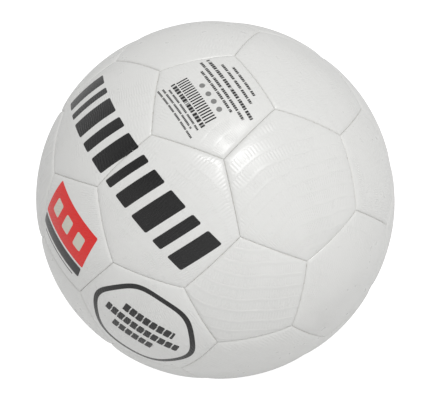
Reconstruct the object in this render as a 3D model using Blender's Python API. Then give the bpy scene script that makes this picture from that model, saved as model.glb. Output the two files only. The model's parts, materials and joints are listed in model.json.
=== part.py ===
"""Hand-stitched association football, size 5: 32 laminated panels, three runs of thread, bladder and valve.

Frame: metres, +Z up. The origin is the centre of the ball. +Z runs out through the middle of a hexagonal
panel, +X through the middle of a seam between two hexagonal panels, and the YZ plane is a mirror plane of
the panel layout, with a pentagonal panel on its -Y side.
"""

import math

import bmesh
import bpy
from mathutils import Matrix, Vector

MM = 0.001

# Driving dimensions
CIRCUMFERENCE = 690 * MM  # a size 5 ball measures 680 to 700 mm round
COVER_THICKNESS = 3.2 * MM  # skin, foam and textile lining, laminated into one sheet
FLANGE_DEPTH = 5.2 * MM  # how far the turned-in seam edge reaches below the skin
FLANGE_THICKNESS = 1.7 * MM
ROLL_WIDTH = 3.2 * MM  # the panel starts to curve down this far from its seam
ROLL_DEPTH = 0.5 * MM
THREAD_SIZE = 0.8 * MM
THREAD_DEPTH = 1.4 * MM  # skin to the top of the thread
BLADDER_WALL = 1.0 * MM
CLEARANCE = 0.3 * MM  # between pieces that touch on the real ball

# Valve, as radii about its own axis and depths below the skin
VALVE_HOLE_RADIUS = 5.0 * MM
HOUSING_RADIUS = 4.6 * MM
HOUSING_TOP = 0.6 * MM
HOUSING_BOTTOM = 17.0 * MM
HOUSING_FLANGE = (8.5 * MM, 4.0 * MM, 4.6 * MM)  # radius, top and bottom
BORE_RADIUS = 2.6 * MM
COUNTERBORE = (3.4 * MM, 1.7 * MM)  # radius and floor
INSERT_HEAD = (3.1 * MM, 0.7 * MM, 1.4 * MM)  # radius, top and bottom
INSERT_RADIUS = 2.3 * MM
INSERT_TIP = (1.6 * MM, 15.8 * MM)  # radius and depth
NEEDLE_RADIUS = 0.6 * MM
NEEDLE_MOUTH_RADIUS = 1.3 * MM
NEEDLE_DEPTH = 13.0 * MM
PATCH = (14.0 * MM, 4.9 * MM, 5.4 * MM)  # radius, top and bottom
VALVE_FACING = Vector((-0.68, 0.68, 0.26))  # the valve goes in the hexagonal panel nearest this direction

# Facets
SHARP_ANGLE = 40  # degrees; edges that turn further than this are shaded sharp
MIDDLE_SHARE = 0.55  # how far out the inner ring of a panel lies, from its middle to its edge
SAME_PLACE = 0.01 * MM  # points nearer than this are one point
SEAM_STEPS = 3  # straight steps along each side of a panel
BLADDER_STEPS = 24
VALVE_STEPS = 24

# Derived sizes
RADIUS = CIRCUMFERENCE / (2 * math.pi)
SEAM_LENGTH = RADIUS * 4 / math.sqrt(58 + 18 * math.sqrt(5))  # chord between two neighbouring corners
HALF_GAP = CLEARANCE / 2
LEDGE_INSET = THREAD_SIZE / 2 + CLEARANCE
LEDGE_DEPTH = THREAD_DEPTH + THREAD_SIZE + CLEARANCE
STEP_SAG = (RADIUS - FLANGE_DEPTH) * (1 - math.cos(math.asin(SEAM_LENGTH / 2 / RADIUS) / SEAM_STEPS))
BLADDER_RADIUS = RADIUS - FLANGE_DEPTH - STEP_SAG - CLEARANCE


def material(name, colour, roughness):
    """A Principled material with one colour and no metal in it."""
    made = bpy.data.materials.new(name)
    made.use_nodes = True
    shader = made.node_tree.nodes["Principled BSDF"]
    shader.inputs["Base Color"].default_value = (*colour, 1)
    shader.inputs["Roughness"].default_value = roughness
    made.diffuse_color = (*colour, 1)
    return made


def add_object(name, mesh, finish, matrix=None, parent=None):
    """One named object for one sub-part."""
    made = bpy.data.objects.new(name, mesh)
    if not mesh.materials:
        mesh.materials.append(finish)
    bpy.context.scene.collection.objects.link(made)
    made.parent = parent
    if matrix is not None:
        made.matrix_local = matrix
    return made


def finished_mesh(name, bm):
    """The bmesh as a mesh with its faces outwards and smooth, and creases kept sharp."""
    bmesh.ops.recalc_face_normals(bm, faces=bm.faces)
    mesh = bpy.data.meshes.new(name)
    bm.to_mesh(mesh)
    bm.free()
    mesh.shade_smooth()
    mesh.set_sharp_from_angle(angle=math.radians(SHARP_ANGLE))
    return mesh


# ---- Panel layout: the corners of a truncated icosahedron, blown up to a sphere


def pentagon_axes():
    """Unit vectors through the twelve pentagonal panels, in four rings of three about Z."""
    root5 = math.sqrt(5)
    high = math.sqrt((5 + 2 * root5) / 15)
    low = math.sqrt((5 - 2 * root5) / 15)
    axes = []
    for height, turn in ((high, 0), (low, 60), (-low, 0), (-high, 60)):
        flat = math.sqrt(1 - height * height)
        for third in range(3):
            angle = math.radians(-90 + turn + 120 * third)
            axes.append(Vector((flat * math.cos(angle), flat * math.sin(angle), height)))
    return axes


def are_neighbours(a, b):
    """Neighbouring axes of an icosahedron are 63.4 degrees apart."""
    return math.isclose(a.dot(b), 1 / math.sqrt(5), abs_tol=0.001)


def panel_frame(axis, corner):
    """Rotation that takes +Z to a panel's axis and +X to one of its corners."""
    x = (corner - axis * corner.dot(axis)).normalized()
    y = axis.cross(x)
    return Matrix((x, y, axis)).transposed().to_4x4()


def panel_frames():
    """The frames of the twelve pentagonal and the twenty hexagonal panels."""
    axes = pentagon_axes()
    pentagons, hexagons = [], []
    for i, a in enumerate(axes):
        near = next(b for b in axes if are_neighbours(a, b))
        pentagons.append(panel_frame(a, (2 * a + near).normalized()))
        for j in range(i + 1, len(axes)):
            for k in range(j + 1, len(axes)):
                b, c = axes[j], axes[k]
                if are_neighbours(a, b) and are_neighbours(b, c) and are_neighbours(a, c):
                    middle = (a + b + c).normalized()
                    hexagons.append(panel_frame(middle, (2 * a + b).normalized()))

    def from_top(frame):
        axis = frame.col[2]
        return (-round(axis.z, 3), round(math.atan2(axis.y, axis.x), 3))

    return sorted(pentagons, key=from_top), sorted(hexagons, key=from_top)


# ---- Panels: each is a shallow tray whose edges are turned in where the thread holds them


def corner_directions(sides):
    """Corners of a panel whose axis is +Z, anticlockwise from +X."""
    reach = SEAM_LENGTH / (2 * math.sin(math.pi / sides)) / RADIUS
    rise = math.sqrt(1 - reach * reach)
    angles = [2 * math.pi * i / sides for i in range(sides)]
    return [Vector((reach * math.cos(a), reach * math.sin(a), rise)) for a in angles]


def seam_ring(sides, inset, depth):
    """Points round a panel, at one distance from its seam planes and one depth below the skin."""
    radius = RADIUS - depth
    corners = corner_directions(sides)
    inward = [corners[i].cross(corners[(i + 1) % sides]).normalized() for i in range(sides)]
    moved = []
    for i in range(sides):
        before, after = inward[i - 1], inward[i]
        along = before.cross(after).normalized()
        lean = (before + after) * inset / (1 + before.dot(after))
        moved.append(lean + along * math.sqrt(radius * radius - lean.length_squared))
    points = []
    for i in range(sides):
        normal = inward[i]
        start, end = (p - normal * inset for p in (moved[i], moved[(i + 1) % sides]))
        for step in range(SEAM_STEPS):
            turned_to = start.normalized().slerp(end.normalized(), step / SEAM_STEPS)
            points.append(turned_to * start.length + normal * inset)
    return points


def pulled_in(points, share, depth):
    """The same ring drawn in towards the panel's axis, on the sphere at that depth."""
    radius = RADIUS - depth
    middle = Vector((0, 0, 1))
    return [middle.slerp(p.normalized(), share) * radius for p in points]


def hole_ring(points, depth):
    """The round hole for the valve, with a point for each one of the ring."""
    height = math.sqrt((RADIUS - depth) ** 2 - VALVE_HOLE_RADIUS**2)
    angles = [math.atan2(p.y, p.x) for p in points]
    return [
        Vector((VALVE_HOLE_RADIUS * math.cos(a), VALVE_HOLE_RADIUS * math.sin(a), height)) for a in angles
    ]


def bridge(bm, first, second):
    """Quads between two closed rings of the same number of vertices."""
    count = len(first)
    for i in range(count):
        j = (i + 1) % count
        bm.faces.new((first[i], first[j], second[j], second[i]))


def close_with_fan(bm, ring, point):
    """Triangles from a closed ring to one vertex."""
    tip = bm.verts.new(point)
    for i, vert in enumerate(ring):
        bm.faces.new((vert, ring[(i + 1) % len(ring)], tip))


def panel_mesh(name, sides, has_valve_hole=False):
    """One panel, from the middle of its skin over its edge and its flange to the middle of its lining."""
    skin_edge = seam_ring(sides, ROLL_WIDTH, 0)
    lining_edge = seam_ring(sides, HALF_GAP + FLANGE_THICKNESS, COVER_THICKNESS)
    rings = [
        pulled_in(skin_edge, MIDDLE_SHARE, 0),
        skin_edge,
        seam_ring(sides, LEDGE_INSET, ROLL_DEPTH),
        seam_ring(sides, LEDGE_INSET, LEDGE_DEPTH),
        seam_ring(sides, HALF_GAP, LEDGE_DEPTH),
        seam_ring(sides, HALF_GAP, FLANGE_DEPTH),
        seam_ring(sides, HALF_GAP + FLANGE_THICKNESS, FLANGE_DEPTH),
        lining_edge,
        pulled_in(lining_edge, MIDDLE_SHARE, COVER_THICKNESS),
    ]
    if has_valve_hole:
        rings.insert(0, hole_ring(skin_edge, 0))
        rings.append(hole_ring(lining_edge, COVER_THICKNESS))
    bm = bmesh.new()
    loops = [[bm.verts.new(p) for p in ring] for ring in rings]
    for first, second in zip(loops, loops[1:]):
        bridge(bm, first, second)
    if has_valve_hole:
        bridge(bm, loops[-1], loops[0])
    else:
        close_with_fan(bm, loops[0], (0, 0, RADIUS))
        close_with_fan(bm, loops[-1], (0, 0, RADIUS - COVER_THICKNESS))
    return finished_mesh(name, bm)


def build_panels(pentagons, hexagons):
    """All 32 panels, numbered from the top of the ball down."""
    cover = material("white_cover", (0.72, 0.72, 0.70), 0.45)
    pentagon = panel_mesh("pentagon_panel", 5)
    hexagon = panel_mesh("hexagon_panel", 6)
    valve_hexagon = panel_mesh("valve_hexagon_panel", 6, has_valve_hole=True)
    for number, frame in enumerate(pentagons, 1):
        add_object(f"pentagon_panel_{number:02d}", pentagon, cover, frame)
    valve_frame = max(hexagons, key=lambda frame: frame.col[2].xyz.dot(VALVE_FACING))
    for number, frame in enumerate(hexagons, 1):
        mesh = valve_hexagon if frame is valve_frame else hexagon
        add_object(f"hexagon_panel_{number:02d}", mesh, cover, frame)
    return valve_frame


# ---- Thread: one run for each half of sixteen panels, and one for the seam that closes the ball


def seams(frames):
    """Each seam as the two panel sides that meet in it, with the lines that the thread follows on each."""
    upper, lower = THREAD_DEPTH, THREAD_DEPTH + THREAD_SIZE
    found = {}
    for sides, frame in frames:
        top = [frame @ p for p in seam_ring(sides, THREAD_SIZE / 2, upper)]
        bottom = [frame @ p for p in seam_ring(sides, THREAD_SIZE / 2, lower)]
        true_corners = [frame @ p for p in seam_ring(sides, 0, 0)]
        for i in range(sides):
            picks = [(i * SEAM_STEPS + s) % len(top) for s in range(SEAM_STEPS + 1)]
            middle = (true_corners[picks[0]] + true_corners[picks[-1]]) / 2
            key = tuple(round(c / MM) for c in middle)
            ends = [tuple(round(c / MM) for c in true_corners[picks[e]]) for e in (0, -1)]
            side = {"up": frame.col[2].z > 0, "ends": ends}
            side["top"], side["bottom"] = [top[p] for p in picks], [bottom[p] for p in picks]
            found.setdefault(key, []).append(side)
    return list(found.values())


def thread_mesh(name, chosen, stop_at):
    """A net of square thread along the chosen seams. It stops short of the corners in stop_at."""
    bm = bmesh.new()
    corners = {}
    short = (THREAD_SIZE + CLEARANCE) / SEAM_LENGTH * SEAM_STEPS
    for side, other in chosen:
        strips = [side["top"], other["top"][::-1], other["bottom"][::-1], side["bottom"]]
        strips = [[bm.verts.new(p) for p in strip] for strip in strips]
        for index, end in ((0, side["ends"][0]), (-1, side["ends"][1])):
            section = [strip[index] for strip in strips]
            if end in stop_at:
                for strip in strips:
                    inner = strip[1 if index == 0 else -2]
                    strip[index].co = strip[index].co.lerp(inner.co, short)
                bm.faces.new(section)
            else:
                corners.setdefault(end, []).append(section)
        for a, b in zip(strips, strips[1:] + strips[:1]):
            for s in range(SEAM_STEPS):
                bm.faces.new((a[s], a[s + 1], b[s + 1], b[s]))
    for sections in corners.values():
        close_thread_corner(bm, sections)
    bmesh.ops.remove_doubles(bm, verts=bm.verts, dist=SAME_PLACE)
    return finished_mesh(name, bm)


def close_thread_corner(bm, sections):
    """Closes the top and the bottom of the net where threads meet.

    Where only two meet, their open outer side is closed as well.
    """
    for pair in ((0, 1), (3, 2)):
        points = []
        for section in sections:
            for i in pair:
                if all((section[i].co - p).length > SAME_PLACE for p in points):
                    points.append(section[i].co.copy())
        bm.faces.new([bm.verts.new(p) for p in points])
    if len(sections) == 2:
        open_ends = [
            [section[i], section[j]]
            for section, rest in ((sections[0], sections[1]), (sections[1], sections[0]))
            for i, j in ((0, 3), (1, 2))
            if all((section[i].co - other.co).length > SAME_PLACE for other in rest)
        ]
        (a, b), (c, d) = open_ends
        bm.faces.new([bm.verts.new(v.co) for v in (a, b, d, c)])


def build_threads(frames):
    """Sorts the seams by the half they lie in, and makes the three runs of thread."""
    thread = material("waxed_thread", (0.80, 0.79, 0.75), 0.6)
    all_seams = seams(frames)
    closing = [pair for pair in all_seams if pair[0]["up"] != pair[1]["up"]]
    on_closing = {end for side, _ in closing for end in side["ends"]}
    for name, is_up in (("upper_half_thread", True), ("lower_half_thread", False)):
        chosen = [pair for pair in all_seams if pair[0]["up"] == pair[1]["up"] == is_up]
        add_object(name, thread_mesh(name, chosen, on_closing), thread)
    add_object("closing_thread", thread_mesh("closing_thread", closing, set()), thread)


# ---- Bladder and valve: turned pieces that share the valve's axis


def turned(name, profile, steps, is_closed):
    """A profile of (radius, height) turned about Z. A point on the axis becomes one vertex."""
    bm = bmesh.new()
    rings = []
    for radius, height in profile:
        if radius == 0:
            rings.append([bm.verts.new((0, 0, height))] * steps)
            continue
        angles = [2 * math.pi * i / steps for i in range(steps)]
        rings.append([bm.verts.new((radius * math.cos(a), radius * math.sin(a), height)) for a in angles])
    for first, second in zip(rings, rings[1:] + rings[:1] if is_closed else rings[1:]):
        for i in range(steps):
            j = (i + 1) % steps
            corners = dict.fromkeys((first[i], first[j], second[j], second[i]))
            bm.faces.new(list(corners))
    return finished_mesh(name, bm)


def build_bladder(axis_frame):
    """A latex balloon, open where the valve goes through it."""
    latex = material("latex_bladder", (0.62, 0.50, 0.36), 0.55)
    opening = math.asin(VALVE_HOLE_RADIUS / BLADDER_RADIUS)
    rows = BLADDER_STEPS // 2
    tilts = [opening + (math.pi - opening) * i / rows for i in range(rows)]
    outer = [(BLADDER_RADIUS * math.sin(t), BLADDER_RADIUS * math.cos(t)) for t in tilts]
    thin = (BLADDER_RADIUS - BLADDER_WALL) / BLADDER_RADIUS
    inner = [(outer[0][0], outer[0][1] - BLADDER_WALL)] + [(r * thin, h * thin) for r, h in outer[1:]]
    profile = [(0, -BLADDER_RADIUS), *outer[::-1], *inner, (0, -BLADDER_RADIUS * thin)]
    mesh = turned("bladder", profile, BLADDER_STEPS, is_closed=False)
    add_object("bladder", mesh, latex, parent=axis_frame)


def build_valve(axis_frame):
    """Rubber housing with its bonded flange, the plug that seals it, and the patch behind the flange."""
    housing_rubber = material("valve_rubber", (0.60, 0.60, 0.58), 0.6)
    insert_rubber = material("insert_rubber", (0.16, 0.16, 0.16), 0.5)
    patch_rubber = material("patch_rubber", (0.30, 0.26, 0.20), 0.7)
    wide, wide_top, wide_bottom = HOUSING_FLANGE
    housing = [
        (COUNTERBORE[0], HOUSING_TOP),
        (HOUSING_RADIUS, HOUSING_TOP),
        (HOUSING_RADIUS, wide_top),
        (wide, wide_top),
        (wide, wide_bottom),
        (HOUSING_RADIUS, wide_bottom),
        (HOUSING_RADIUS, HOUSING_BOTTOM),
        (BORE_RADIUS, HOUSING_BOTTOM),
        (BORE_RADIUS, COUNTERBORE[1]),
        (COUNTERBORE[0], COUNTERBORE[1]),
    ]
    head, head_top, head_bottom = INSERT_HEAD
    insert = [
        (0, NEEDLE_DEPTH),
        (NEEDLE_RADIUS, NEEDLE_DEPTH),
        (NEEDLE_RADIUS, head_bottom),
        (NEEDLE_MOUTH_RADIUS, head_top),
        (head, head_top),
        (head, head_bottom),
        (INSERT_RADIUS, head_bottom),
        (INSERT_RADIUS, INSERT_TIP[1] - (INSERT_RADIUS - INSERT_TIP[0])),
        INSERT_TIP,
        (0, INSERT_TIP[1]),
    ]
    reach, patch_top, patch_bottom = PATCH
    patch = [
        (VALVE_HOLE_RADIUS, patch_top),
        (reach, patch_top),
        (reach, patch_bottom),
        (VALVE_HOLE_RADIUS, patch_bottom),
    ]
    for name, depths, finish, is_closed in (
        ("valve_housing", housing, housing_rubber, True),
        ("valve_insert", insert, insert_rubber, False),
        ("valve_patch", patch, patch_rubber, True),
    ):
        profile = [(radius, -depth) for radius, depth in depths]
        mesh = turned(name, profile, VALVE_STEPS, is_closed)
        add_object(name, mesh, finish, Matrix.Translation((0, 0, RADIUS)), axis_frame)


for old in list(bpy.data.objects):
    bpy.data.objects.remove(old, do_unlink=True)

pentagon_frames, hexagon_frames = panel_frames()
valve_panel_frame = build_panels(pentagon_frames, hexagon_frames)
build_threads([(5, f) for f in pentagon_frames] + [(6, f) for f in hexagon_frames])

valve_axis = bpy.data.objects.new("valve_axis", None)
valve_axis.matrix_world = valve_panel_frame
bpy.context.scene.collection.objects.link(valve_axis)
build_bladder(valve_axis)
build_valve(valve_axis)
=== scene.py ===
"""White hand-stitched association football, size 5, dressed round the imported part.

The part's frame has its origin in the middle of the ball, in metres, with +Z up. Sizes in the sections below
are in millimetres where a name or a comment says so, and turned into metres by MM.
"""

import json
import math

import bpy
import numpy as np
from mathutils import Matrix, Vector


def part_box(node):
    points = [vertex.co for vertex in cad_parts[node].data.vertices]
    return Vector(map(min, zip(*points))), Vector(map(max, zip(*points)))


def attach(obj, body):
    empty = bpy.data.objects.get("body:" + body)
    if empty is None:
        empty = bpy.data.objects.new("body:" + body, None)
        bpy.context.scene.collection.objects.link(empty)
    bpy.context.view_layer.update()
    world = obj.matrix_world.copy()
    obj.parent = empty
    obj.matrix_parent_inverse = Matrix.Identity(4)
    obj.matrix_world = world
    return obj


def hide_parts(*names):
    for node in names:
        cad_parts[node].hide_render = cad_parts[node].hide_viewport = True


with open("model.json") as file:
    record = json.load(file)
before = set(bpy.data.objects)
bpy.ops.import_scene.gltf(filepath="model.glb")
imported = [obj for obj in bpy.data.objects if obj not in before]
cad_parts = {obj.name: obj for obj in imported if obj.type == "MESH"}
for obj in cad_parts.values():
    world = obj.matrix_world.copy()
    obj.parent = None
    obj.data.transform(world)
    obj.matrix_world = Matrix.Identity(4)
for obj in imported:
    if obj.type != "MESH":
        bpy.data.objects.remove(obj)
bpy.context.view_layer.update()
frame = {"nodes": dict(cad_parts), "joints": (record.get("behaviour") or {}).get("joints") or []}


# ---- Bladder
# A dipped latex balloon about a millimetre thick, blown up inside the cover. It is open where the valve is
# bonded into it, and only a sliver of it can be seen, round the valve.

MM = 0.001
LATEX_BROWN = (0.55, 0.40, 0.25)
LATEX_PALE = (0.70, 0.56, 0.38)
BLADDER_WALL = 1.0 * MM
NECK_RADIUS = 5.0 * MM  # of the opening that the valve is bonded into
BLADDER_ROWS, BLADDER_STEPS = 48, 96  # from pole to neck, and round


class Finish:
    """A Principled material, and short ways to add the nodes behind it."""

    def __init__(self, name, colour, roughness):
        self.material = bpy.data.materials.new(name)
        self.material.use_nodes = True
        self.material.diffuse_color = (*colour, 1)
        self.tree = self.material.node_tree
        self.shader = self.tree.nodes["Principled BSDF"]
        self.shader.inputs["Base Color"].default_value = (*colour, 1)
        self.shader.inputs["Roughness"].default_value = roughness

    def set(self, **sockets):
        """Constants on the shader's own sockets, with _ for a space in a name."""
        for name, value in sockets.items():
            self.shader.inputs[name.replace("_", " ")].default_value = value

    def feed(self, socket, value):
        """A number or colour is set on the socket, and another node's output is linked to it."""
        if isinstance(value, bpy.types.NodeSocket):
            self.tree.links.new(value, socket)
        elif value is not None:
            socket.default_value = (*value, 1) if socket.type == "RGBA" and len(value) == 3 else value

    def math(self, operation, a, b=None, c=None):
        node = self.tree.nodes.new("ShaderNodeMath")
        node.operation = operation
        for socket, value in zip(node.inputs, (a, b, c)):
            self.feed(socket, value)
        return node.outputs[0]

    def spread(self, value, low, high, to_low=0.0, to_high=1.0):
        """value from low to high becomes to_low to to_high, with soft ends."""
        node = self.tree.nodes.new("ShaderNodeMapRange")
        node.interpolation_type = "SMOOTHSTEP"
        for socket, given in zip(node.inputs, (value, low, high, to_low, to_high)):
            self.feed(socket, given)
        return node.outputs[0]

    def mix(self, factor, a, b):
        """Colour a where factor is 0 and b where it is 1."""
        node = self.tree.nodes.new("ShaderNodeMix")
        node.data_type = "RGBA"
        self.feed(node.inputs[0], factor)
        self.feed(node.inputs[6], a)
        self.feed(node.inputs[7], b)
        return node.outputs[2]

    def place(self):
        """Object coordinates, in metres."""
        return self.tree.nodes.new("ShaderNodeTexCoord").outputs["Object"]

    def reading(self, name):
        """A value that the mesh holds at each point: (its three parts as one, its single value)."""
        node = self.tree.nodes.new("ShaderNodeAttribute")
        node.attribute_name = name
        return node.outputs["Vector"], node.outputs["Fac"]

    def parts(self, vector):
        """The x, y and z outputs of a vector."""
        node = self.tree.nodes.new("ShaderNodeSeparateXYZ")
        self.feed(node.inputs[0], vector)
        return node.outputs

    def noise(self, size, detail=2.0):
        """Soft noise from 0 to 1 with spots of about that many metres."""
        node = self.tree.nodes.new("ShaderNodeTexNoise")
        self.feed(node.inputs["Vector"], self.place())
        node.inputs["Scale"].default_value = 1 / size
        node.inputs["Detail"].default_value = detail
        return node.outputs["Fac"]

    def colour(self, output):
        self.feed(self.shader.inputs["Base Color"], output)

    def roughness(self, output):
        self.feed(self.shader.inputs["Roughness"], output)

    def relief(self, height, depth):
        """Bump: height from 0 to 1 stands depth metres proud."""
        node = self.tree.nodes.new("ShaderNodeBump")
        node.inputs["Distance"].default_value = depth
        self.feed(node.inputs["Height"], height)
        self.tree.links.new(node.outputs[0], self.shader.inputs["Normal"])


def cad_points(node):
    """The corner points of a CAD node, as an array in metres."""
    mesh = frame["nodes"][node].data
    points = np.zeros(len(mesh.vertices) * 3)
    mesh.vertices.foreach_get("co", points)
    return points.reshape(-1, 3)


def new_piece(name, points, faces, finish):
    """A smooth-shaded mesh object in the part's frame."""
    mesh = bpy.data.meshes.new(name)
    mesh.from_pydata([tuple(p) for p in points], [], faces)
    mesh.shade_smooth()
    mesh.materials.append(finish.material)
    piece = bpy.data.objects.new(name, mesh)
    bpy.context.scene.collection.objects.link(piece)
    return piece


def turned(profile, steps, is_ring):
    """Points and faces of a (radius, height) profile turned about Z; a closed ring never meets the axis."""
    points, rows = [], []
    for radius, height in profile:
        count = 1 if radius == 0 else steps
        rows.append([len(points) + i % count for i in range(steps)])
        angles = [2 * math.pi * i / steps for i in range(count)]
        points += [(radius * math.cos(a), radius * math.sin(a), height) for a in angles]
    faces = []
    for low, high in zip(rows, rows[1:] + rows[:1] if is_ring else rows[1:]):
        for i in range(steps):
            j = (i + 1) % steps
            faces.append(tuple(dict.fromkeys((low[i], high[i], high[j], low[j]))))
    return np.array(points), faces


valve_axis = Vector(frame["joints"][0]["axis"]).normalized()
valve_turn = np.array(valve_axis.to_track_quat("Z", "Y").to_matrix())
ball_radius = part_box("hexagon_panel_01")[1].z

latex = Finish("natural_latex", LATEX_PALE, 0.5)
latex.colour(latex.mix(latex.noise(0.02), LATEX_BROWN, LATEX_PALE))
latex.relief(latex.noise(0.0015, 3), 0.05 * MM)

bladder_radius = np.linalg.norm(cad_points("bladder"), axis=1).max()
neck_tilt = math.asin(NECK_RADIUS / bladder_radius)
tilts = np.linspace(math.pi, neck_tilt, BLADDER_ROWS)
outside = [(bladder_radius * math.sin(t), bladder_radius * math.cos(t)) for t in tilts[1:]]
thin = 1 - BLADDER_WALL / bladder_radius
inside = [(r * thin, h * thin) for r, h in outside[::-1]]
profile = [(0, -bladder_radius), *outside, *inside, (0, -bladder_radius * thin)]
points, faces = turned(profile, BLADDER_STEPS, is_ring=False)
bladder = new_piece("latex_bladder", points @ valve_turn.T, faces, latex)
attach(bladder, "ball")
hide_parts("bladder")


# ---- Cover panels
# Thirty-two panels die-cut from a laminate of embossed white polyurethane, foam and textile. Their edges are
# turned in and sewn to each other, so the air blows each panel up into a low cushion between its seams.

COVER_WHITE = (0.70, 0.70, 0.685)
# colour of the painted shade that greys the cover towards each seam, down in the crease
CREASE_PAINTED_SHADE = (0.68, 0.68, 0.66)
ROWS = 56  # rows of points from the middle of a panel to its edge
EDGE_ROWS_MM = (0.03, 0.18, 0.38, 0.58, 0.82, 1.1, 1.45, 1.9, 2.4, 3.0, 3.8)  # their distances from the seam
CUSHION = 0.6 * MM  # how far the middle of a panel stands above its edge
SWELL = 0.3 * MM  # how much of that stands outside the round ball
SHOULDER = (0.65 * MM, 2.2 * MM)  # depth and width of the slope towards the seam
ROLL = (0.55 * MM, 1.3 * MM)  # depth and width of the rolled edge in the crease
STITCHES = 8  # along each seam
PUCKER = 0.22 * MM  # how far a stitch pulls the edge down
OPENING = 0.1 * MM  # and how far it draws the edge away from the seam
PUCKER_REACH = 1.4 * MM
WAVER = 0.10 * MM  # slow unevenness of the laminate
FLANGE_RINGS_MM = (  # distance from the seam and depth, from the lip of the crease round to the lining
    (0.12, 2.3),
    (0.70, 2.7),
    (0.70, 3.4),
    (0.20, 3.6),
    (0.20, 5.0),
    (0.90, 5.2),
    (1.70, 5.0),
    (2.00, 3.8),
    (3.60, 3.3),
)
LINING_DEPTH = 3.2 * MM
LINING_ROWS = 5
HOLE_ROW = 8  # the valve hole takes the place of this row
HOLE_RADIUS = 5.0 * MM
HOLE_RINGS_MM = ((0.0, 1.2), (0.05, 0.6), (0.3, 0.22))  # past the hole's radius, and depth
HOLE_DIP = (0.25 * MM, 1.5 * MM)  # depth and width of the slope towards the hole
RELIEF = 0.26 * MM  # how far the strongest line of the embossing stands up
RIDGE_PITCH_MM = 7.7  # between the long lines of the embossing
RIB_PITCH_MM = 1.6  # between the short ribs that cross them
RIB_SHIFT_MM = 2.3  # of the ribs from one line to the next
RIB_LEAST, RIB_MORE = 0.16, 0.32  # height of a rib as a share of RELIEF, and what soft patches add to it
LINE_WAVES_MM = ((1.1, 9), (0.25, 3.1))  # height and length of the slow and quick bends in a long line
LINE_STRENGTHS = {
    "pentagon_panel_07": 0.85,
    "hexagon_panel_13": 0.05,
    "hexagon_panel_06": 0.4,
    "hexagon_panel_05": 0.2,
}
OTHER_STRENGTHS = (0.25, 0.1, 0.35, 0.15, 0.6)  # by turns on the rest of the panels
GRAIN_BENDS = {  # where the middle of the bent lines lies, as a direction and millimetres
    "pentagon_panel_07": ((0.35, 0, 1), 130),
    "hexagon_panel_06": ((0.1, 0, -1), 85),
    "hexagon_panel_05": ((-1, 0, -0.7), 120),
}


class Blank:
    """The cut shape of a pentagonal or hexagonal panel, whose axis is +Z, with a corner at +X."""

    def __init__(self, sides):
        self.sides = sides
        edge = 4 / math.sqrt(58 + 18 * math.sqrt(5))  # a seam's chord on a ball of radius 1
        self.half_seam = math.asin(edge / 2)
        across = edge / (2 * math.sin(math.pi / sides))
        self.corner_reach = across / math.sqrt(1 - across * across)
        self.side_tilt = math.atan(self.corner_reach * math.cos(math.pi / sides))
        turns = 2 * math.pi * np.arange(sides) / sides
        self.corners = self.corner_reach * np.stack([np.cos(turns), np.sin(turns)], 1)
        middles = turns + math.pi / sides
        tilt = self.side_tilt
        flat = np.stack([np.cos(middles), np.sin(middles)], 1)
        self.inward = np.column_stack([-flat * math.cos(tilt), np.full(sides, math.sin(tilt))])
        self.seam_middle = np.column_stack([flat * math.sin(tilt), np.full(sides, math.cos(tilt))])
        self.seam_along = np.column_stack([-flat[:, 1], flat[:, 0], np.zeros(sides)])
        self.depth_to_middle = ball_radius * math.sin(tilt) * math.cos(tilt)

    def share(self, inset):
        """How far out a row lies whose distance from the seam is inset."""
        return 1 - inset / self.depth_to_middle

    def rim(self, count):
        """Flat points round the edge, with count of them along each side."""
        steps = np.arange(count) / count
        following = np.roll(self.corners, -1, axis=0)
        legs = self.corners[:, None] + steps[None, :, None] * (following - self.corners)[:, None]
        return legs.reshape(-1, 2)

    def row_shares(self):
        """The share of every row, from 0 in the middle to the lip of the seam."""
        edge_rows = [self.share(inset * MM) for inset in EDGE_ROWS_MM]
        inner = np.linspace(0, edge_rows[-1], ROWS - len(edge_rows) + 2)[:-1]
        return np.concatenate([inner, edge_rows[::-1]])

    def distances(self, directions):
        """Each point's distance from each seam, and how far along it the point lies, from 0 to 1."""
        away = ball_radius * directions @ self.inward.T
        along = np.arctan2(directions @ self.seam_along.T, directions @ self.seam_middle.T)
        return away, 0.5 + along / (2 * self.half_seam)


def directions_of(flat):
    """Unit vectors through flat points, which lie on the plane that touches the unit ball on +Z."""
    raised = np.column_stack([flat, np.ones(len(flat))])
    return raised / np.linalg.norm(raised, axis=1, keepdims=True)


def round_hole(flat, share, first_share):
    """Moves flat points so that the first row is the round hole and the last is still the panel's edge."""
    reach = np.linalg.norm(flat, axis=1)
    edge_reach = reach / share
    hole = HOLE_RADIUS / ball_radius
    moved = hole + (share - first_share) / (1 - first_share) * (edge_reach - hole)
    return flat * (moved / reach)[:, None]


def skin_faces(sides, first_row, last_row):
    """Triangles between rows whose point counts grow by one on each side."""
    starts = {first_row: 0}
    for row in range(first_row, last_row):
        starts[row + 1] = starts[row] + max(1, sides * row)
    faces = []
    for row in range(first_row, last_row):
        inner, outer = max(1, sides * row), sides * (row + 1)
        for side in range(sides):
            for step in range(row + 1):
                a = starts[row] + (side * row + step) % inner
                b = starts[row + 1] + side * (row + 1) + step
                c = starts[row + 1] + (side * (row + 1) + step + 1) % outer
                faces.append((a, b, c))
                if step < row:
                    faces.append((a, c, starts[row] + (side * row + step + 1) % inner))
    return faces, starts


def ring_faces(first, second, count):
    """Quads from one ring of points to the next one out."""
    return [
        (first + i, second + i, second + (i + 1) % count, first + (i + 1) % count) for i in range(count)
    ]


def waves(seed, size, count=24):
    """A smooth field over space with swells of about that size in metres, from about -1 to 1."""
    rng = np.random.default_rng(seed)
    aims = rng.normal(size=(count, 3))
    aims *= (2 * math.pi / size * rng.uniform(0.6, 1.3, count) / np.linalg.norm(aims, axis=1))[:, None]
    phases = rng.uniform(0, 2 * math.pi, count)
    return lambda points: np.sin(points @ aims.T + phases).sum(1) / math.sqrt(count / 2) / 1.6


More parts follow.
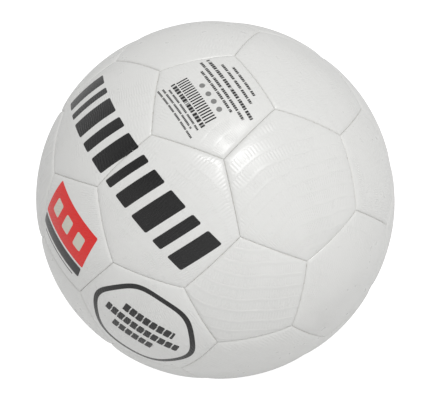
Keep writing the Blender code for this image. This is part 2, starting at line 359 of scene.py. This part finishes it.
slow_waver = waves(seed=3, size=45 * MM)
seam_pull = waves(seed=5, size=60 * MM)
stitch_pull = waves(seed=8, size=7 * MM)


class Panel:
    """One panel's mesh: skin, rolled lip, turned-in flange and lining, as one closed sheet."""

    def __init__(self, node, blank):
        self.node, self.blank = node, blank
        points = cad_points(node)
        axis = points.mean(0)
        axis /= np.linalg.norm(axis)
        lean = points / np.linalg.norm(points, axis=1, keepdims=True)
        corner = lean[np.argmin(lean @ axis)]
        x = corner - axis * (corner @ axis)
        x /= np.linalg.norm(x)
        self.turn = np.column_stack([x, np.cross(axis, x), axis])
        self.has_hole = np.linalg.norm(np.cross(points, axis), axis=1).min() > 1 * MM
        self.build()

    def build(self):
        blank, shares = self.blank, self.blank.row_shares()
        first = HOLE_ROW if self.has_hole else 0
        flats = []
        for row in range(first, ROWS + 1):
            flat = blank.rim(row) * shares[row] if row else np.zeros((1, 2))
            if self.has_hole:
                flat = round_hole(flat, shares[row], shares[first])
            flats.append(flat)
        flat = np.concatenate(flats)
        directions = self.pulled_by_stitches(directions_of(flat))
        self.skin = directions
        depth = self.skin_depth(directions)
        points = [directions * (ball_radius - depth)[:, None]]
        faces, starts = skin_faces(blank.sides, first, ROWS)
        rim_count = blank.sides * ROWS
        rings = [(starts[ROWS], rim_count)]
        total = len(directions)
        rim = blank.rim(ROWS)
        last_inset = FLANGE_RINGS_MM[-1][0] * MM
        for inset, deep in FLANGE_RINGS_MM:
            ring = directions_of(rim * blank.share(inset * MM))
            points.append(ring * (ball_radius - deep * MM))
            faces += ring_faces(rings[-1][0], total, rim_count)
            rings.append((total, rim_count))
            total += rim_count
        lining_end = HOLE_RADIUS / ball_radius if self.has_hole else 0.0
        for step in range(1, LINING_ROWS + 1):
            part = step / (LINING_ROWS + (0 if self.has_hole else 1))
            flat = rim * blank.share(last_inset)
            reach = np.linalg.norm(flat, axis=1)
            flat = flat * ((reach + (lining_end - reach) * part) / reach)[:, None]
            points.append(directions_of(flat) * (ball_radius - LINING_DEPTH))
            faces += ring_faces(rings[-1][0], total, rim_count)
            rings.append((total, rim_count))
            total += rim_count
        if self.has_hole:
            total = self.close_hole(points, faces, rings, total)
        else:
            points.append(np.array([[0, 0, ball_radius - LINING_DEPTH]]))
            last = rings[-1][0]
            faces += [(last + i, total, last + (i + 1) % rim_count) for i in range(rim_count)]
        self.points = np.concatenate(points)
        self.faces = faces

    def close_hole(self, points, faces, rings, total):
        """The wall of the valve hole, from the lining up to the first row of the skin."""
        count = self.blank.sides * HOLE_ROW
        angles = np.arctan2(self.skin[:count, 1], self.skin[:count, 0])
        circle = np.stack([np.cos(angles), np.sin(angles)], 1)
        last, many = rings[-1]
        ratio = many // count
        for beyond, deep in HOLE_RINGS_MM:
            radius = ball_radius - deep * MM
            flat = circle * (HOLE_RADIUS + beyond * MM)
            height = np.sqrt(radius**2 - (flat**2).sum(1))
            points.append(np.column_stack([flat, height]))
        for i in range(count):
            j = (i + 1) % count
            wide = [last + (i * ratio + k) % many for k in range(ratio + 1)]
            faces.append((wide[0], total + i, total + j, *wide[:0:-1]))
        last_ring = len(HOLE_RINGS_MM) - 1
        for step in range(last_ring):
            faces += ring_faces(total + step * count, total + (step + 1) * count, count)
        faces += ring_faces(total + last_ring * count, 0, count)
        return total + len(HOLE_RINGS_MM) * count

    def stitch_strength(self, directions):
        """How hard the nearest stitches pull at each point, and its distance from the nearest seam."""
        away, along = self.blank.distances(directions)
        nearest = np.argmin(away, axis=1)
        pick = np.arange(len(directions))
        distance, place = away[pick, nearest], along[pick, nearest]
        tight = (0.5 - 0.5 * np.cos(2 * math.pi * STITCHES * place)) ** 5
        middles = self.blank.seam_middle[nearest] @ self.turn.T * ball_radius
        whole_seam = np.clip(0.55 + 0.45 * seam_pull(middles), 0.1, 1)
        each = np.clip(0.8 + 0.35 * stitch_pull(directions @ self.turn.T * ball_radius), 0.3, 1.2)
        return tight * whole_seam * each, distance

    def pulled_by_stitches(self, directions):
        """The lip of the seam opens a little at each stitch, where the edge is pulled in."""
        pull, distance = self.stitch_strength(directions)
        shift = OPENING * pull * np.exp(-np.maximum(distance, 0) / PUCKER_REACH) / ball_radius
        flat = directions[:, :2] / directions[:, 2:]
        reach = np.linalg.norm(flat, axis=1, keepdims=True)
        flat = flat * (1 - shift[:, None] / np.maximum(reach, 1e-6))
        return directions_of(flat)

    def skin_depth(self, directions):
        """How far each point of the skin lies below the round ball."""
        blank = self.blank
        away, _ = blank.distances(directions)
        away = np.maximum(away, 0.02 * MM)
        soft = (away**-4.0).sum(1) ** -0.25
        pull, distance = self.stitch_strength(directions)
        crown = 1 - (1 - np.clip(soft / blank.depth_to_middle, 0, 1)) ** 2
        depth = CUSHION * (1 - crown) - SWELL
        depth += SHOULDER[0] * np.exp(-soft / SHOULDER[1])
        into = np.clip(1 - soft / ROLL[1], 0, 1)
        depth += ROLL[0] * (1 - np.sqrt(1 - into**2))
        depth += PUCKER * pull * np.exp(-distance / PUCKER_REACH)
        depth += WAVER * (1 + slow_waver(directions @ self.turn.T * ball_radius)) / 2
        if self.has_hole:
            from_hole = np.arccos(np.clip(directions[:, 2], -1, 1)) * ball_radius - HOLE_RADIUS
            depth += HOLE_DIP[0] * np.exp(-np.maximum(from_hole, 0) / HOLE_DIP[1])
        return depth

    def flat_mm(self):
        """Each point's place on the panel laid out flat, in millimetres, x towards its first corner."""
        lean = self.points / np.linalg.norm(self.points, axis=1, keepdims=True)
        reach = np.linalg.norm(lean[:, :2], axis=1, keepdims=True)
        tilt = np.arctan2(reach, lean[:, 2:])
        return lean[:, :2] / np.maximum(reach, 1e-9) * tilt * ball_radius / MM

    def world(self):
        return self.points @ self.turn.T


def grain_of(panel, seed):
    """Coordinates that follow the embossing, in millimetres: along its long lines and across them."""
    rng = np.random.default_rng(seed)
    aim, bend = rng.uniform(0, 2 * math.pi), rng.uniform(55, 130)
    if panel.node in GRAIN_BENDS:
        towards, bend = GRAIN_BENDS[panel.node]
        towards = towards @ panel.turn
        aim = math.atan2(towards[1], towards[0])
    spot = panel.flat_mm()
    centre = bend * np.array([math.cos(aim), math.sin(aim)])
    from_centre = spot - centre
    radius = np.linalg.norm(from_centre, axis=1)
    angle = np.arctan2(from_centre @ [math.sin(aim), -math.cos(aim)], from_centre @ -centre / bend)
    across, along = radius - bend, angle * bend
    (slow, slow_length), (quick, quick_length) = LINE_WAVES_MM
    across = across + slow * np.sin(along / slow_length + rng.uniform(0, 6))
    across = across + quick * np.sin(along / quick_length)
    return np.column_stack([along, across, np.full(len(spot), rng.uniform(0, 50))])


def store(mesh, name, values):
    """Keeps a value or a vector at each point of the mesh for its material to read."""
    kind, field = ("FLOAT", "value") if values.ndim == 1 else ("FLOAT_VECTOR", "vector")
    mesh.attributes.new(name, kind, "POINT").data.foreach_set(field, values.astype(np.float32).ravel())


def cover_finish(name):
    """Embossed white polyurethane: long raised lines with short ribs between them, with painted shade greying
    the creases.
    """
    cover = Finish(name, COVER_WHITE, 0.4)
    cover.set(Specular_IOR_Level=0.5, Coat_Weight=0.1, Coat_Roughness=0.25)
    along, across, _ = cover.parts(cover.reading("grain")[0])
    seam = cover.reading("from_seam")[1]
    strips = cover.math("DIVIDE", across, RIDGE_PITCH_MM)
    past_line = cover.math("FRACT", strips)
    steep = cover.spread(past_line, 0.0, 0.12)
    gentle = cover.spread(past_line, 0.12, 0.45, cover.reading("line_strength")[1], 0.0)
    line = cover.math("MULTIPLY", steep, gentle)
    row = cover.math("FLOOR", strips)
    shifted = cover.math("MULTIPLY_ADD", row, RIB_SHIFT_MM, along)
    turn = cover.math("MULTIPLY", shifted, 2 * math.pi / RIB_PITCH_MM)
    rib = cover.math("MULTIPLY_ADD", cover.math("SINE", turn), 0.5, 0.5)
    patch = cover.spread(cover.noise(0.016, 1.5), 0.38, 0.62)
    ribs = cover.math("MULTIPLY", rib, cover.math("MULTIPLY_ADD", patch, RIB_MORE, RIB_LEAST))
    height = cover.math("MAXIMUM", line, ribs)
    calm = cover.spread(seam, 0.6, 2.2)
    cover.relief(cover.math("MULTIPLY", height, calm), RELIEF)
    # painted shade: the colour turns grey towards the seam, where the crease lies in shadow
    tone = cover.mix(cover.spread(seam, 0.0, 1.2), CREASE_PAINTED_SHADE, COVER_WHITE)
    uneven = cover.spread(cover.noise(0.03, 3), 0.3, 0.7, 0.0, 1.0)
    paler = tuple(min(1, c * 1.025) for c in COVER_WHITE)
    tone = cover.mix(cover.math("MULTIPLY", uneven, 0.5), tone, paler)
    cover.plain_gloss = cover.spread(cover.noise(0.006, 3), 0.25, 0.75, 0.27, 0.35)
    cover.roughness(cover.plain_gloss)
    cover.colour(tone)
    cover.plain_tone = tone
    return cover


plain_cover = cover_finish("white_polyurethane")
blanks = {5: Blank(5), 6: Blank(6)}
panels = {}
for seed, node in enumerate(sorted(n for n in frame["nodes"] if "_panel_" in n)):
    panel = Panel(node, blanks[5 if node.startswith("pentagon") else 6])
    piece = new_piece(node.replace("_panel_", "_cover_"), panel.world(), panel.faces, plain_cover)
    away, _ = panel.blank.distances(panel.points / np.linalg.norm(panel.points, axis=1, keepdims=True))
    store(piece.data, "from_seam", away.min(1) / MM)
    store(piece.data, "grain", grain_of(panel, seed))
    strength = LINE_STRENGTHS.get(node, OTHER_STRENGTHS[seed % 5])
    store(piece.data, "line_strength", np.full(len(panel.points), strength))
    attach(piece, "ball")
    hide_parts(node)
    panel.piece = piece
    panels[node] = panel


# ---- Printed marks
# Glossy ink, screen printed on the laminate before the panels are cut. The marks are plain shapes: a row of
# bold blocks over two hexagons, a red patch, a hexagonal ring, and small bars in place of printed lines.

INK_BLACK = (0.005, 0.005, 0.005)
INK_RED = (0.72, 0.006, 0.004)
INK_SILVER = (0.60, 0.58, 0.50)
INK_ROUGHNESS = 0.27
INK_EDGE = 0.12  # millimetres over which an edge of ink fades
BLOCK_HEIGHT = 27.8
BLOCK_WIDTHS = (11, 6, 13, 8, 12, 6, 10, 13, 7, 11)  # along the row, in millimetres
BLOCK_GAP = 5.4
BLOCK_SLANT = 0.18
ROW_AT = (-38.24, 34.63, -45)  # azimuth, elevation and turn of its middle, in degrees
RING_AT = (-37.76, -19.46, -30)
RING_REACH, RING_HALF = 31.0, 1.6  # from its middle to a side, and half its line, in millimetres
RING_ROWS = ((1, 9.6, 17.0), (0, 0, 24.5), (-2, -9.6, 14.0))  # a row's middle across and up, and half length
RING_BAR_PITCH, RING_BAR_GAP = 4.6, 0.4  # along a row, and half the gap
RING_ROW_TILT = -14  # degrees
PATCH_AT = (-60.02, 10.83, -45)
PATCH_MIDDLE, PATCH_HALF = (-2.5, 4.5), (23.0, 13.0)  # across and up, in millimetres
PATCH_TILT = 7  # degrees
INFO_AT = (0.0, 52.64, -72.5)


def print_place(points, azimuth, elevation, turn):
    """Millimetres along and up from the middle of a mark, which lies in that direction and is turned so."""
    azimuth, elevation, turn = (math.radians(a) for a in (azimuth, elevation, turn))
    middle = np.array([math.sin(azimuth) * math.cos(elevation), -math.cos(azimuth) * math.cos(elevation), 0])
    middle[2] = math.sin(elevation)
    east = np.cross([0, 0, 1], middle)
    east /= np.linalg.norm(east)
    north = np.cross(middle, east)
    right = east * math.cos(turn) + north * math.sin(turn)
    up = np.cross(middle, right)
    lean = points / np.linalg.norm(points, axis=1, keepdims=True)
    x = np.arctan2(lean @ right, lean @ middle) * ball_radius / MM
    y = np.arcsin(np.clip(lean @ up, -1, 1)) * ball_radius / MM
    return x, y


def bar(x, y, half_length, half_height, corner=0.5):
    """Distance outside a bar with rounded corners, less than 0 inside it."""
    dx, dy = np.abs(x) - half_length + corner, np.abs(y) - half_height + corner
    outside = np.hypot(np.maximum(dx, 0), np.maximum(dy, 0))
    return outside + np.minimum(np.maximum(dx, dy), 0) - corner


def block_row(x, y):
    """Distance outside a row of slanted blocks of different widths."""
    row_length = sum(BLOCK_WIDTHS) + BLOCK_GAP * (len(BLOCK_WIDTHS) - 1)
    left, blocks = -row_length / 2, []
    for width in BLOCK_WIDTHS:
        blocks.append(bar(x - BLOCK_SLANT * y - left - width / 2, y, width / 2, BLOCK_HEIGHT / 2, 1.0))
        left += width + BLOCK_GAP
    return np.min(blocks, axis=0)


def hexagon_ring(x, y):
    """A ring with six soft corners, and three rows of small upright bars inside it."""
    angles = np.radians([15, 75, 135])
    folded = sum(np.abs(x * math.cos(a) + y * math.sin(a)) ** 7 for a in angles) ** (1 / 7)
    ring = np.abs(folded - RING_REACH) - RING_HALF
    tilt = math.radians(RING_ROW_TILT)
    u, v = x * math.cos(tilt) + y * math.sin(tilt), y * math.cos(tilt) - x * math.sin(tilt)
    bars = [bar(u - across, v - up, half, 3.2, 0.6) for across, up, half in RING_ROWS]
    gaps = RING_BAR_GAP - np.abs((u % RING_BAR_PITCH) - RING_BAR_PITCH / 2)
    bars = [np.maximum(b, gaps) for b in bars]
    return np.min([ring, *bars], axis=0)


def red_patch(x, y):
    """Distance outside the patch, and the millimetres along and up it, which is turned a little."""
    tilt = math.radians(PATCH_TILT)
    x, y = x - PATCH_MIDDLE[0], y - PATCH_MIDDLE[1]
    u, v = x * math.cos(tilt) + y * math.sin(tilt), y * math.cos(tilt) - x * math.sin(tilt)
    return bar(u, v, *PATCH_HALF, 1.0), u, v


def print_on(node, marks):
    """Gives a panel its own cover material, with each (name, distances, ink colour) printed over the last."""
    finish = cover_finish(node.replace("_panel_", "_print_"))
    tone, inked = finish.plain_tone, None
    for name, distance, ink in marks:
        if isinstance(distance, np.ndarray):
            store(panels[node].piece.data, name, distance)
            distance = finish.reading(name)[1]
        here = finish.spread(distance, -INK_EDGE, INK_EDGE, 1.0, 0.0)
        tone = finish.mix(here, tone, ink)
        inked = here if inked is None else finish.math("MAXIMUM", inked, here)
    finish.colour(tone)
    finish.roughness(finish.spread(inked, 0.0, 1.0, finish.plain_gloss, INK_ROUGHNESS))
    panels[node].piece.data.materials[0] = finish.material


for node in ("hexagon_panel_02", "hexagon_panel_05"):
    x, y = print_place(panels[node].world(), *ROW_AT)
    print_on(node, [("blocks", block_row(x, y), INK_BLACK)])

x, y = print_place(panels["hexagon_panel_12"].world(), *RING_AT)
print_on("hexagon_panel_12", [("ring", hexagon_ring(x, y), INK_BLACK)])

x, y = print_place(panels["pentagon_panel_04"].world(), *PATCH_AT)
red, u, v = red_patch(x, y)
pale = np.min([bar(u - at, v, 3.6, 5.2, 1.2) for at in (-13, 0, 13)], axis=0)
dark = np.minimum(bar(u, v + 18.5, 22.5, 4.0, 1.0), bar(u, v + 25.0, 18.0, 0.5, 0.4))
marks = [("red", red, INK_RED), ("dark", dark, INK_BLACK), ("pale", pale, INK_SILVER)]
print_on("pentagon_panel_04", marks)

INFO_LINES = (  # height up the panel, left end, right end and thickness, in millimetres
    (23.8, -14, 11, 1.7),
    (19.2, -18, 15, 1.7),
    (14.2, -26, 24, 2.1),
    (9.7, -26, 22, 1.7),
    (6.2, -19, 15, 1.6),
    (-12.0, -20, 15, 2.7),
    (-15.5, -18, 15, 1.2),
    (-18.2, -21, 12, 1.2),
    (-21.0, -23, 17, 1.2),
)
LINE_EDGE = 0.15  # millimetres over which the end or side of a line fades
HATCH_MIDDLE, HATCH_HALF = (-3.0, -6.4), (17.0, 3.5)  # across and up the panel, in millimetres
HATCH_PITCH = 0.9
WORD_SHIFT, WORD_LEAST, WORD_MORE = 3.7, 3.4, 0.37  # where the gaps in a line fall, by line, in millimetres
DOTS_ACROSS, DOTS_UP, DOT_RADIUS = (-9, -2, 4, 10), 1.2, 1.7
info = cover_finish("pentagon_print_01")
x, y = print_place(panels["pentagon_panel_01"].world(), *INFO_AT)
store(panels["pentagon_panel_01"].piece.data, "print_mm", np.column_stack([x, y, 0 * x]))
across, up, _ = info.parts(info.reading("print_mm")[0])
marked = None
for line, (height, left, right, thick) in enumerate(INFO_LINES):
    off_line = info.math("ABSOLUTE", info.math("SUBTRACT", up, height))
    on_line = info.spread(off_line, thick / 2 - LINE_EDGE, thick / 2 + LINE_EDGE, 1.0, 0.0)
    off_middle = info.math("ABSOLUTE", info.math("SUBTRACT", across, (left + right) / 2))
    half = (right - left) / 2
    within = info.spread(off_middle, half - LINE_EDGE, half + LINE_EDGE, 1.0, 0.0)
    shifted = info.math("ADD", across, WORD_SHIFT * line)
    word = info.math("PINGPONG", shifted, WORD_LEAST + WORD_MORE * (line % 4))
    gap = info.spread(word, 0.25, 0.5)
    letter = info.math("PINGPONG", across, 0.42 * thick)
    grey = info.spread(letter, 0.05, 0.25 * thick, 0.45, 1.0)
    bit = info.math("MULTIPLY", info.math("MULTIPLY", on_line, within), info.math("MULTIPLY", gap, grey))
    marked = bit if marked is None else info.math("MAXIMUM", marked, bit)
hatch = info.spread(info.math("PINGPONG", across, HATCH_PITCH), 0.38, 0.52)
off_hatch = [info.math("ABSOLUTE", info.math("SUBTRACT", a, b)) for a, b in zip((across, up), HATCH_MIDDLE)]
wide, tall = (info.spread(off, half, half + 0.2, 1.0, 0.0) for off, half in zip(off_hatch, HATCH_HALF))
marked = info.math("MAXIMUM", marked, info.math("MULTIPLY", hatch, info.math("MULTIPLY", tall, wide)))
dots = np.min([np.hypot(x - at, y - DOTS_UP) for at in DOTS_ACROSS], axis=0) - DOT_RADIUS
store(panels["pentagon_panel_01"].piece.data, "dots", dots)
dotted = info.spread(info.reading("dots")[1], -INK_EDGE, INK_EDGE, 0.7, 0.0)
marked = info.math("MAXIMUM", marked, dotted)
info.colour(info.mix(marked, info.plain_tone, INK_BLACK))
info.roughness(info.spread(marked, 0.0, 1.0, info.plain_gloss, INK_ROUGHNESS))
panels["pentagon_panel_01"].piece.data.materials[0] = info.material


# ---- Thread
# Waxed five-ply polyester. The panels are sewn inside out along their flanges, so only the crossing stitches
# show, deep in the crease. The last seam to be sewn is closed from outside and runs round the middle.

THREAD_PALE = (0.66, 0.65, 0.60)
THREAD_SHADE = (0.42, 0.41, 0.38)
THREAD_RADIUS = 0.36 * MM
THREAD_SWAY = 0.25 * MM  # to each side of the seam
THREAD_TOP, THREAD_DIP = 1.5 * MM, 2.8 * MM  # depth at a stitch and between two
THREAD_END = 1.3 * MM  # how far the thread stops short of a corner
THREAD_STEPS = 9  # rings of points for each stitch
THREAD_SIDES = 8
PLY_LAY = 1.1  # millimetres along the thread for one turn of its plies

waxed = Finish("waxed_polyester_thread", THREAD_PALE, 0.45)
strand_along, strand_around, _ = waxed.parts(waxed.reading("lay")[0])
round_turn = waxed.math("MULTIPLY", strand_around, 5.0)
twist = waxed.math("MULTIPLY_ADD", strand_along, 2 * math.pi / PLY_LAY, round_turn)
ply = waxed.math("MULTIPLY_ADD", waxed.math("SINE", twist), 0.5, 0.5)
waxed.colour(waxed.mix(ply, THREAD_SHADE, THREAD_PALE))
waxed.relief(ply, 0.06 * MM)


def seam_ends():
    """Every seam as (one end, other end, whether the panels on its two sides face up), in unit directions."""
    found = {}
    for panel in panels.values():
        corners = directions_of(panel.blank.corners) @ panel.turn.T
        for a, b in zip(corners, np.roll(corners, -1, axis=0)):
            middle = tuple(np.round((a + b) * 500).astype(int) // 5)
            found.setdefault(middle, [a, b, []])[2].append(panel.turn[2, 2] > 0)
    return list(found.values())


def stitch_run(a, b):
    """A zigzag tube along a seam, as points, faces and (millimetres along, radians round)."""
    across = np.cross(a, b)
    across /= np.linalg.norm(across)
    whole = math.acos(float(a @ b))
    skip = THREAD_END / ball_radius
    count = STITCHES * THREAD_STEPS
    at = np.linspace(skip, whole - skip, count + 1)
    phase = at / whole * STITCHES * 2 * math.pi
    seaward = np.sin(whole - at)[:, None] * a + np.sin(at)[:, None] * b
    seaward /= np.linalg.norm(seaward, axis=1, keepdims=True)
    rise = 0.5 - 0.5 * np.cos(phase)
    depth = THREAD_DIP + (THREAD_TOP - THREAD_DIP) * rise**2
    spine = seaward * (ball_radius - depth)[:, None] + across * (THREAD_SWAY * np.sin(phase / 2))[:, None]
    ahead = np.gradient(spine, axis=0)
    ahead /= np.linalg.norm(ahead, axis=1, keepdims=True)
    side = np.cross(ahead, seaward)
    side /= np.linalg.norm(side, axis=1, keepdims=True)
    over = np.cross(side, ahead)
    around = 2 * math.pi * np.arange(THREAD_SIDES) / THREAD_SIDES
    ring = side[:, None] * np.cos(around)[:, None] + over[:, None] * np.sin(around)[:, None]
    points = (spine[:, None] + THREAD_RADIUS * ring).reshape(-1, 3)
    faces = []
    for step in range(count):
        faces += ring_faces(step * THREAD_SIDES, (step + 1) * THREAD_SIDES, THREAD_SIDES)
    last = count * THREAD_SIDES
    faces += [tuple(range(THREAD_SIDES)), tuple(range(last + THREAD_SIDES - 1, last - 1, -1))]
    lay = np.stack(np.broadcast_arrays(at[:, None] * ball_radius / MM, around, 0 * around), 2).reshape(-1, 3)
    return points, faces, lay


runs = {"upper_half_thread": [], "lower_half_thread": [], "closing_thread": []}
for a, b, (first_up, second_up) in seam_ends():
    half = "upper_half_thread" if first_up else "lower_half_thread"
    runs[half if first_up == second_up else "closing_thread"].append(stitch_run(a, b))
for node, pieces in runs.items():
    points, faces, lays, start = [], [], [], 0
    for run_points, run_faces, lay in pieces:
        points.append(run_points)
        faces += [tuple(start + i for i in face) for face in run_faces]
        lays.append(lay)
        start += len(run_points)
    sewn = new_piece(node.replace("thread", "stitching"), np.concatenate(points), faces, waxed)
    store(sewn.data, "lay", np.concatenate(lays))
    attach(sewn, "ball")
    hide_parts(node)


# ---- Valve
# A moulded rubber housing is bonded to the bladder behind a cloth-backed patch and comes up through a round
# hole in one panel. A plug with the needle hole is pushed into it and can be pulled out with a tool.

HOUSING_GREY = (0.62, 0.62, 0.60)
PLUG_BLACK = (0.03, 0.03, 0.032)
PATCH_BROWN = (0.20, 0.16, 0.11)


def rubber(name, colour, roughness):
    """Moulded rubber with a fine matt surface and a faint bloom."""
    made = Finish(name, colour, roughness)
    bloom = tuple(min(1, c * 1.25 + 0.015) for c in colour)
    made.colour(made.mix(made.spread(made.noise(0.003, 4), 0.4, 0.75), colour, bloom))
    made.relief(made.noise(0.0004, 3), 0.02 * MM)
    return made


def valve_piece(name, node, profile_mm, body, finish, is_ring):
    """A piece turned about the valve's axis from (radius, depth below the round ball) in millimetres."""
    profile = [(r * MM, ball_radius - d * MM) for r, d in profile_mm]
    points, faces = turned(profile[::-1], 48, is_ring)
    piece = new_piece(name, points @ valve_turn.T, faces, finish)
    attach(piece, body)
    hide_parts(node)
    return piece


housing_profile = [
    (3.45, 0.85),
    (3.7, 0.62),
    (4.2, 0.6),
    (4.5, 0.75),
    (4.6, 1.1),
    (4.6, 3.8),
    (5.0, 4.0),
    (8.3, 4.05),
    (8.5, 4.3),
    (8.3, 4.6),
    (4.8, 4.6),
    (4.6, 4.9),
    (4.4, 16.4),
    (4.0, 17.0),
    (3.0, 17.0),
    (2.6, 16.5),
    (2.6, 1.9),
    (2.8, 1.7),
    (3.3, 1.7),
    (3.4, 1.5),
]
plug_profile = [
    (0, 13.0),
    (0.6, 12.8),
    (0.6, 2.2),
    (0.75, 1.3),
    (1.2, 0.95),
    (1.9, 0.85),
    (2.6, 0.72),
    (2.95, 0.75),
    (3.1, 0.95),
    (3.1, 1.3),
    (2.95, 1.4),
    (2.4, 1.4),
    (2.3, 1.6),
    (2.3, 14.6),
    (2.0, 15.3),
    (1.5, 15.8),
    (0, 15.8),
]
patch_profile = [(5.0, 4.95), (5.1, 4.9), (13.7, 4.9), (14.0, 5.15), (13.7, 5.4), (5.1, 5.4), (5.0, 5.35)]
housing_rubber = rubber("valve_housing_rubber", HOUSING_GREY, 0.55)
plug_rubber = rubber("valve_plug_rubber", PLUG_BLACK, 0.45)
patch_rubber = rubber("patch_rubber", PATCH_BROWN, 0.75)
valve_piece("valve_stem", "valve_housing", housing_profile, "ball", housing_rubber, True)
valve_piece("valve_plug", "valve_insert", plug_profile, "insert", plug_rubber, False)
valve_piece("valve_backing", "valve_patch", patch_profile, "ball", patch_rubber, True)


# ---- Studio
# A white floor that bends up into a wall all round, a pale sky that is brighter behind the ball, and one
# large soft lamp high up in front of it.

FLOOR_WHITE = (0.5, 0.5, 0.5)
FLOOR_GLOW, FLOOR_SEEN_GLOW = 0.31, 0.6  # what it sheds on the ball, and what the camera sees besides
CAMERA_AZIMUTH, CAMERA_ELEVATION, CAMERA_LEAN = -5.28, 21.27, 10.13  # degrees
CAMERA_DISTANCE = 9.343  # in ball radii
LENS_MM, SENSOR_MM = 139.1, 36.0
SKY_STRENGTHS = (0.21, 0.78)  # in front of the ball and behind it

floor_paint = Finish("studio_floor", FLOOR_WHITE, 0.9)
floor_paint.set(Emission_Color=(1, 1, 1, 1))
seen_directly = floor_paint.tree.nodes.new("ShaderNodeLightPath").outputs["Is Camera Ray"]
glow = floor_paint.math("MULTIPLY_ADD", seen_directly, FLOOR_SEEN_GLOW, FLOOR_GLOW)
floor_paint.feed(floor_paint.shader.inputs["Emission Strength"], glow)
floor_paint.relief(floor_paint.noise(0.01), 0.01 * MM)
sweep = [(0, 0)] + [(r, 0) for r in (0.3, 0.8, 1.6, 2.4)]
sweep += [(2.4 + 0.8 * math.sin(a), 0.8 - 0.8 * math.cos(a)) for a in np.linspace(0.15, math.pi / 2, 12)]
sweep.append((3.2, 2.2))
points, faces = turned(sweep, 96, is_ring=False)
points[:, 2] -= ball_radius
floor = new_piece("studio_floor", points, [f[::-1] for f in faces], floor_paint)

sky = bpy.data.worlds.new("studio_sky")
bpy.context.scene.world = sky
sky.use_nodes = True
sky.node_tree.nodes["Background"].inputs["Color"].default_value = (1, 1, 1, 1)
facing = sky.node_tree.nodes.new("ShaderNodeSeparateXYZ")
sky.node_tree.links.new(sky.node_tree.nodes.new("ShaderNodeTexCoord").outputs["Generated"], facing.inputs[0])
dimming = sky.node_tree.nodes.new("ShaderNodeMapRange")
for socket, value in zip(dimming.inputs[1:5], (-1, 0.6, *SKY_STRENGTHS)):
    socket.default_value = value
sky.node_tree.links.new(facing.outputs["Y"], dimming.inputs[0])
sky.node_tree.links.new(dimming.outputs[0], sky.node_tree.nodes["Background"].inputs["Strength"])


key_light = bpy.data.lights.new("key_lamp", "AREA")
key_light.size, key_light.energy = 0.75, 25
key_lamp = bpy.data.objects.new("key_lamp", key_light)
key_lamp.location = (0.42, -1.5, 1.65)
key_lamp.rotation_euler = (-key_lamp.location).to_track_quat("-Z", "Y").to_euler()
bpy.context.scene.collection.objects.link(key_lamp)

camera = bpy.data.objects.new("camera", bpy.data.cameras.new("camera"))
camera.data.lens, camera.data.sensor_width = LENS_MM, SENSOR_MM
azimuth, elevation = math.radians(CAMERA_AZIMUTH), math.radians(CAMERA_ELEVATION)
level = math.cos(elevation)
back = Vector((math.sin(azimuth) * level, -math.cos(azimuth) * level, math.sin(elevation)))
upright = (-back).to_track_quat("-Z", "Y").to_matrix()
leaning = Matrix.Rotation(math.radians(-CAMERA_LEAN), 3, "Z")
camera.matrix_world = (upright @ leaning).to_4x4()
camera.location = back * CAMERA_DISTANCE * ball_radius
bpy.context.scene.collection.objects.link(camera)
bpy.context.scene.camera = camera
bpy.context.scene.view_settings.view_transform = "Standard"
